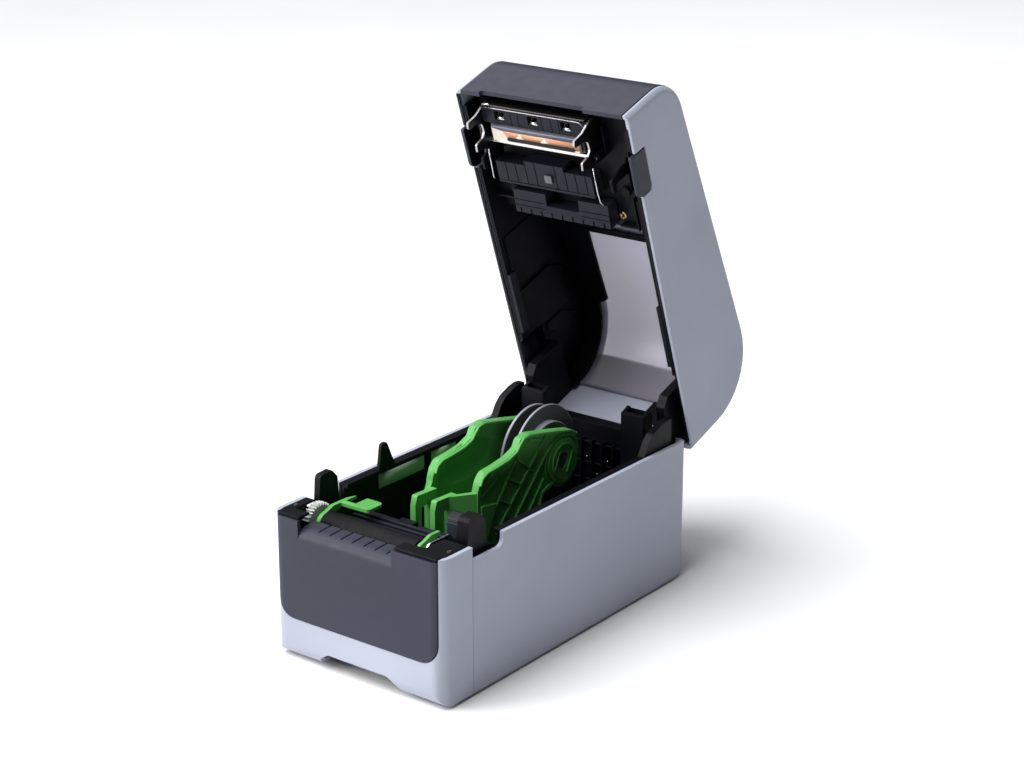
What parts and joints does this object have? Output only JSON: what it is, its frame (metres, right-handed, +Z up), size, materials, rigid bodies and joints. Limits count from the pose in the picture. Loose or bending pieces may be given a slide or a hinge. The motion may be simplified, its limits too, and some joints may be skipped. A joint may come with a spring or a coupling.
{
  "type": "label maker",
  "caption": "Desktop thermal label maker with a hinged lid standing open, a platen and print head, and two coupled roll holder arms with spinning discs.",
  "frame": {"origin": "centre of the bounding box at the bottom of the feet, with the lid open", "axes": "+X to the right seen from the front, +Y to the rear, +Z up"},
  "size_m": [0.1084, 0.2664, 0.2757],
  "materials": {
    "light_grey_plastic": "fine satin texture",
    "slate_plastic": "fine satin texture",
    "black_plastic": "satin",
    "green_plastic": "semi-gloss",
    "grey_disc_plastic": "semi-gloss",
    "smoked_window": "clear smoked plastic",
    "bright_steel": "bright",
    "dark_rubber": "matt",
    "white_plastic": "semi-gloss",
    "head_ceramic": "satin with a glazed strip",
    "board_laminate": "varnished circuit board"
  },
  "bodies": {
    "base": {"base_shell": "light_grey_plastic", "front_cover": "light_grey_plastic", "front_panel": "slate_plastic", "left_deck_plate": "black_plastic", "right_deck_plate": "black_plastic", "left_side_frame": "black_plastic", "right_side_frame": "black_plastic", "bay_floor": "black_plastic", "rear_inner_wall": "black_plastic", "left_hinge_pin": "bright_steel", "right_hinge_pin": "bright_steel", "guide_plate": "black_plastic", "lower_media_sensor": "black_plastic", "cover_switch_housing": "black_plastic", "chassis_plate": "bright_steel", "left_front_foot": "dark_rubber", "right_front_foot": "dark_rubber", "left_rear_foot": "dark_rubber", "right_rear_foot": "dark_rubber", "feed_motor": "bright_steel", "main_board": "board_laminate", "power_jack": "black_plastic", "usb_port": "bright_steel"},
    "platen": {"platen_roller": "dark_rubber", "platen_shaft": "bright_steel", "platen_gear": "white_plastic"},
    "idler": {"idler_gear": "white_plastic"},
    "motor_rotor": {"motor_pinion": "white_plastic"},
    "left_lever": {"left_platen_lever": "green_plastic"},
    "right_lever": {"right_platen_lever": "green_plastic"},
    "left_arm": {"left_roll_arm": "green_plastic"},
    "right_arm": {"right_roll_arm": "green_plastic"},
    "left_disc": {"left_core_disc": "grey_disc_plastic"},
    "right_disc": {"right_core_disc": "grey_disc_plastic"},
    "arm_gear": {"arm_pinion": "white_plastic"},
    "lid": {"lid_shell": "light_grey_plastic", "lid_cap": "slate_plastic", "window_pane": "smoked_window", "window_frame": "black_plastic", "left_lid_lining": "black_plastic", "right_lid_lining": "black_plastic", "lid_chassis": "black_plastic", "tear_bar": "bright_steel", "upper_media_guide": "black_plastic", "upper_media_sensor": "grey_disc_plastic", "roll_guard": "black_plastic", "head_pivot_rod": "bright_steel", "head_spring_1": "bright_steel", "head_spring_2": "bright_steel", "head_spring_3": "bright_steel", "status_light": "white_plastic"},
    "print_head": {"head_bracket": "black_plastic", "heat_sink": "bright_steel", "thermal_head": "head_ceramic"},
    "latch": {"latch_shaft": "black_plastic"},
    "left_tab": {"left_release_tab": "slate_plastic"},
    "right_tab": {"right_release_tab": "slate_plastic"},
    "feed_key": {"feed_button": "slate_plastic"},
    "power_key": {"power_button": "slate_plastic"}
  },
  "joints": [
    {"name": "lid_hinge", "type": "hinge", "parent": "base", "child": "lid", "pos_m": [0, 0.07335, 0.07], "axis": [1, 0, 0], "range_deg": [0, 70.6]},
    {"name": "platen_spin", "type": "hinge", "parent": "base", "child": "platen", "pos_m": [0, -0.11185, 0.069], "axis": [1, 0, 0], "continuous": true},
    {"name": "idler_spin", "type": "hinge", "parent": "base", "child": "idler", "pos_m": [0, -0.10556, 0.04553], "axis": [1, 0, 0], "continuous": true},
    {"name": "motor_spin", "type": "hinge", "parent": "base", "child": "motor_rotor", "pos_m": [0, -0.10051, 0.02669], "axis": [1, 0, 0], "continuous": true},
    {"name": "left_lever_turn", "type": "hinge", "parent": "base", "child": "left_lever", "pos_m": [0, -0.11185, 0.069], "axis": [-1, 0, 0], "range_deg": [-60, 0]},
    {"name": "right_lever_turn", "type": "hinge", "parent": "base", "child": "right_lever", "pos_m": [0, -0.11185, 0.069], "axis": [-1, 0, 0], "range_deg": [-60, 0]},
    {"name": "right_arm_slide", "type": "slide", "parent": "base", "child": "right_arm", "axis": [1, 0, 0], "range_m": [0, 0.0235]},
    {"name": "left_arm_slide", "type": "slide", "parent": "base", "child": "left_arm", "axis": [-1, 0, 0], "range_m": [0, 0.0235]},
    {"name": "arm_gear_turn", "type": "hinge", "parent": "base", "child": "arm_gear", "pos_m": [-0.00575, -0.03785, 0.013], "axis": [0, 0, 1], "range_deg": [-10, 400]},
    {"name": "left_disc_spin", "type": "hinge", "parent": "left_arm", "child": "left_disc", "pos_m": [-0.012, 0.02215, 0.0735], "axis": [1, 0, 0], "continuous": true},
    {"name": "right_disc_spin", "type": "hinge", "parent": "right_arm", "child": "right_disc", "pos_m": [0, 0.02215, 0.0735], "axis": [1, 0, 0], "continuous": true},
    {"name": "print_head_pivot", "type": "hinge", "parent": "lid", "child": "print_head", "pos_m": [0, 0.02415, 0.24012], "axis": [1, 0, 0], "range_deg": [-1.5, 0], "stiffness_Nm_per_rad": 2, "springref_deg": 2.86},
    {"name": "latch_release", "type": "hinge", "parent": "lid", "child": "latch", "pos_m": [0, 0.04153, 0.23712], "axis": [1, 0, 0], "range_deg": [0, 12], "stiffness_Nm_per_rad": 0.3, "springref_deg": -8.59},
    {"name": "left_tab_squeeze", "type": "hinge", "parent": "lid", "child": "left_tab", "pos_m": [-0.053, 0.03351, 0.23642], "axis": [0, -0.3322, 0.9432], "range_deg": [0, 6]},
    {"name": "right_tab_squeeze", "type": "hinge", "parent": "lid", "child": "right_tab", "pos_m": [0.053, 0.03351, 0.23642], "axis": [0, 0.3322, -0.9432], "range_deg": [0, 6]},
    {"name": "feed_button_press", "type": "slide", "parent": "lid", "child": "feed_key", "axis": [0, -0.9432, -0.3322], "range_m": [0, 0.0008], "stiffness_N_per_m": 300, "springref_m": -0.0006},
    {"name": "power_button_press", "type": "slide", "parent": "lid", "child": "power_key", "axis": [0, -0.9432, -0.3322], "range_m": [0, 0.0008], "stiffness_N_per_m": 300, "springref_m": -0.0006}
  ],
  "couplings": [
    {"joint": "idler_spin", "follows": "platen_spin", "ratio": -0.66667},
    {"joint": "motor_spin", "follows": "platen_spin", "ratio": 2},
    {"joint": "left_arm_slide", "follows": "right_arm_slide", "ratio": 1},
    {"joint": "arm_gear_turn", "follows": "right_arm_slide", "rad_per_m": 277.78},
    {"joint": "left_tab_squeeze", "follows": "latch_release", "ratio": 0.5},
    {"joint": "right_tab_squeeze", "follows": "latch_release", "ratio": 0.5}
  ]
}
